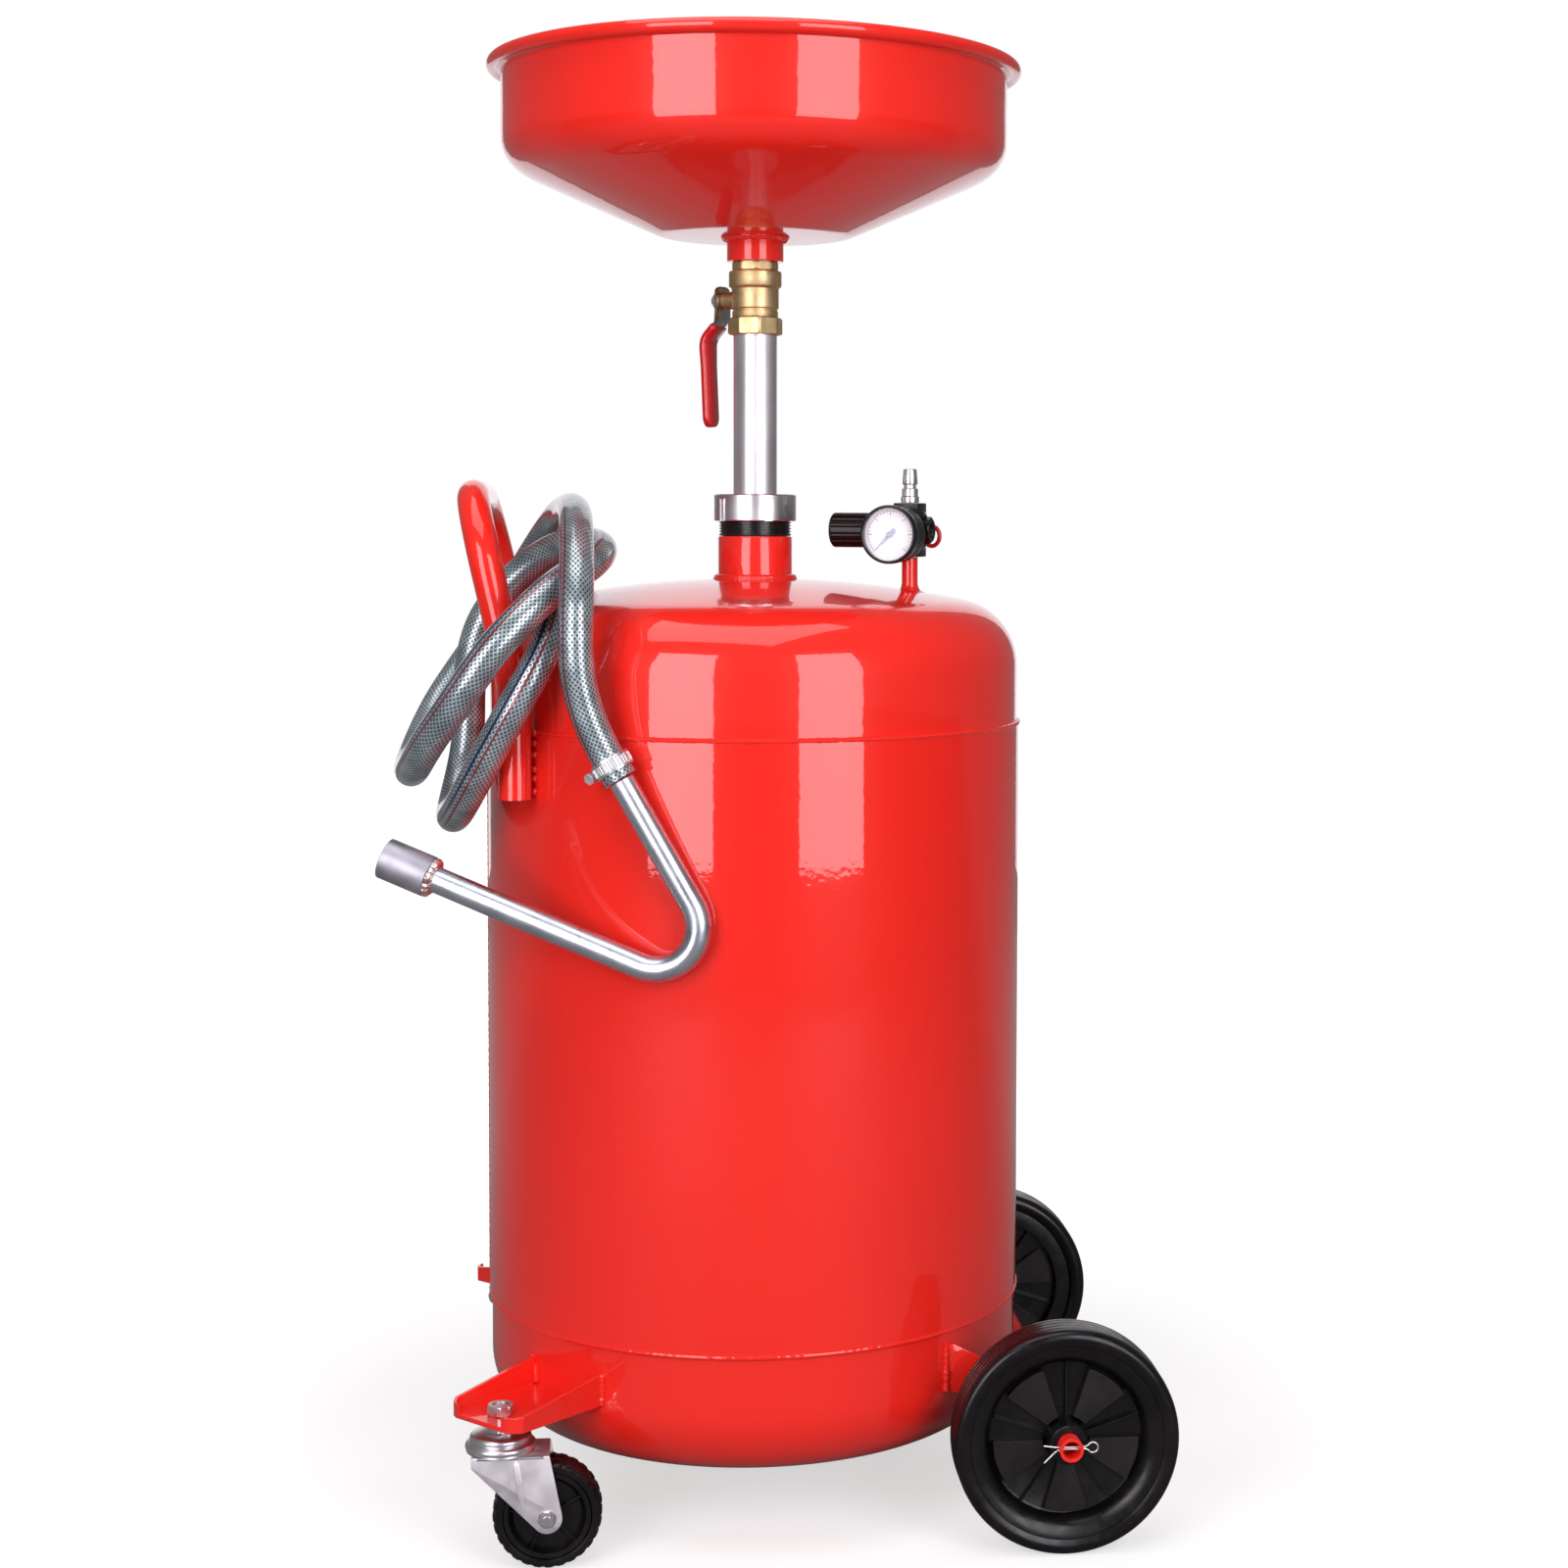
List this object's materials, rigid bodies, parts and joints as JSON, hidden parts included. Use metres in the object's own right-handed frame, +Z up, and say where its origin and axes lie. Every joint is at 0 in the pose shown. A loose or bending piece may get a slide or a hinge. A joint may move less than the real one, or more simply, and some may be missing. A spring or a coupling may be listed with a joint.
{
  "type": "portable waste oil drainer",
  "caption": "Wheeled air-operated waste-oil drainer: an upright pressure tank with a push handle, a sliding collecting bowl with a ball valve, a regulator and a hose with a wand.",
  "frame": {"origin": "on the floor, at the centre of the outline of the object without its hose and wand", "axes": "+Z up, along the tank's axis; +X from the casters towards the rear axle; the rear axle along Y"},
  "size_m": [0.5595, 0.445, 1.066],
  "materials": {
    "red_enamel": "gloss",
    "black_iron": "satin",
    "aluminium": "satin",
    "brass": "satin",
    "zinc": "satin",
    "chrome": "polished",
    "steel": "satin",
    "black_plastic": "matte",
    "black_rubber": "matte",
    "red_vinyl": "gloss",
    "white_dial": "matte",
    "clear_lens": "clear",
    "braided_hose": "satin"
  },
  "bodies": {
    "root": {"tank_barrel": "red_enamel", "tank_top_head": "red_enamel", "tank_bottom_head": "red_enamel", "filler_neck": "red_enamel", "neck_thread": "black_iron", "pipe_packing": "black_rubber", "handle_tube": "red_enamel", "caster_bracket_near": "red_enamel", "caster_bracket_far": "red_enamel", "caster_bolt_near": "zinc", "caster_bolt_far": "zinc", "rear_axle": "red_enamel", "axle_arm_near": "red_enamel", "axle_arm_far": "red_enamel", "split_pin_near": "steel", "split_pin_far": "steel", "regulator_riser": "red_enamel", "regulator_body": "black_plastic", "gauge_case": "black_plastic", "gauge_lens": "clear_lens", "air_plug": "steel", "relief_valve": "brass", "outlet_elbow": "brass", "dip_tube": "steel", "hose": "braided_hose", "hose_clamp": "steel", "wand_tube": "steel", "wand_socket": "zinc"},
    "lock_nut": {"lock_nut": "aluminium"},
    "pipe_slide": {"pipe_stop_collar": "steel"},
    "bowl_head": {"drain_pipe": "aluminium", "valve_end_nut": "brass", "valve_body": "brass", "valve_gland": "brass", "bowl_socket": "red_enamel", "bowl": "red_enamel", "bowl_strainer": "zinc"},
    "valve_lever": {"valve_ball": "chrome", "valve_stem": "steel", "stem_nut": "zinc", "valve_lever": "zinc", "lever_grip": "red_vinyl"},
    "regulator_knob": {"regulator_knob": "black_plastic"},
    "gauge_needle": {"gauge_needle": "white_dial"},
    "relief_pull": {"relief_pull": "red_vinyl"},
    "caster_near": {"caster_race_near": "chrome", "caster_fork_near": "zinc", "caster_axle_near": "steel"},
    "caster_wheel_near": {"caster_wheel_near": "black_plastic", "caster_tyre_near": "black_rubber"},
    "rear_wheel_near": {"rear_wheel_near": "black_plastic", "rear_tyre_near": "black_rubber"},
    "caster_far": {"caster_race_far": "chrome", "caster_fork_far": "zinc", "caster_axle_far": "steel"},
    "caster_wheel_far": {"caster_wheel_far": "black_plastic", "caster_tyre_far": "black_rubber"},
    "rear_wheel_far": {"rear_wheel_far": "black_plastic", "rear_tyre_far": "black_rubber"}
  },
  "joints": [
    {"name": "lock_nut_turn", "type": "hinge", "parent": "root", "child": "lock_nut", "pos_m": [-0.035, 0, 0.735], "axis": [0, 0, 1], "range_deg": [0, 180]},
    {"name": "pipe_slide", "type": "slide", "parent": "root", "child": "pipe_slide", "axis": [0, 0, 1], "range_m": [-0.11, 0.43]},
    {"name": "pipe_swivel", "type": "hinge", "parent": "pipe_slide", "child": "bowl_head", "pos_m": [-0.035, 0, 0.7], "axis": [0, 0, 1], "continuous": true},
    {"name": "valve_lever_turn", "type": "hinge", "parent": "bowl_head", "child": "valve_lever", "pos_m": [-0.035, 0, 0.8915], "axis": [0.829, -0.5592, 0], "range_deg": [0, 90]},
    {"name": "regulator_knob_turn", "type": "hinge", "parent": "root", "child": "regulator_knob", "pos_m": [0.0805, -0.02, 0.7185], "axis": [-0.9063, 0.4226, 0], "range_deg": [0, 900]},
    {"name": "gauge_needle_turn", "type": "hinge", "parent": "root", "child": "gauge_needle", "pos_m": [0.06076, -0.06232, 0.7155], "axis": [0.4226, 0.9063, 0], "range_deg": [0, 270]},
    {"name": "relief_pull_out", "type": "slide", "parent": "root", "child": "relief_pull", "axis": [0.4226, 0.9063, 0], "range_m": [0, 0.004], "stiffness_N_per_m": 600, "springref_m": -0.001},
    {"name": "caster_swivel_near", "type": "hinge", "parent": "root", "child": "caster_near", "pos_m": [-0.22059, -0.17922, 0.088], "axis": [0, 0, 1], "continuous": true},
    {"name": "caster_roll_near", "type": "hinge", "parent": "caster_near", "child": "caster_wheel_near", "pos_m": [-0.18859, -0.17922, 0.0377], "axis": [0, 1, 0], "continuous": true},
    {"name": "rear_roll_near", "type": "hinge", "parent": "root", "child": "rear_wheel_near", "pos_m": [0.1735, -0.191, 0.08], "axis": [0, 1, 0], "continuous": true},
    {"name": "caster_swivel_far", "type": "hinge", "parent": "root", "child": "caster_far", "pos_m": [-0.22059, 0.17922, 0.088], "axis": [0, 0, 1], "continuous": true},
    {"name": "caster_roll_far", "type": "hinge", "parent": "caster_far", "child": "caster_wheel_far", "pos_m": [-0.18859, 0.17922, 0.0377], "axis": [0, 1, 0], "continuous": true},
    {"name": "rear_roll_far", "type": "hinge", "parent": "root", "child": "rear_wheel_far", "pos_m": [0.1735, 0.191, 0.08], "axis": [0, 1, 0], "continuous": true}
  ]
}
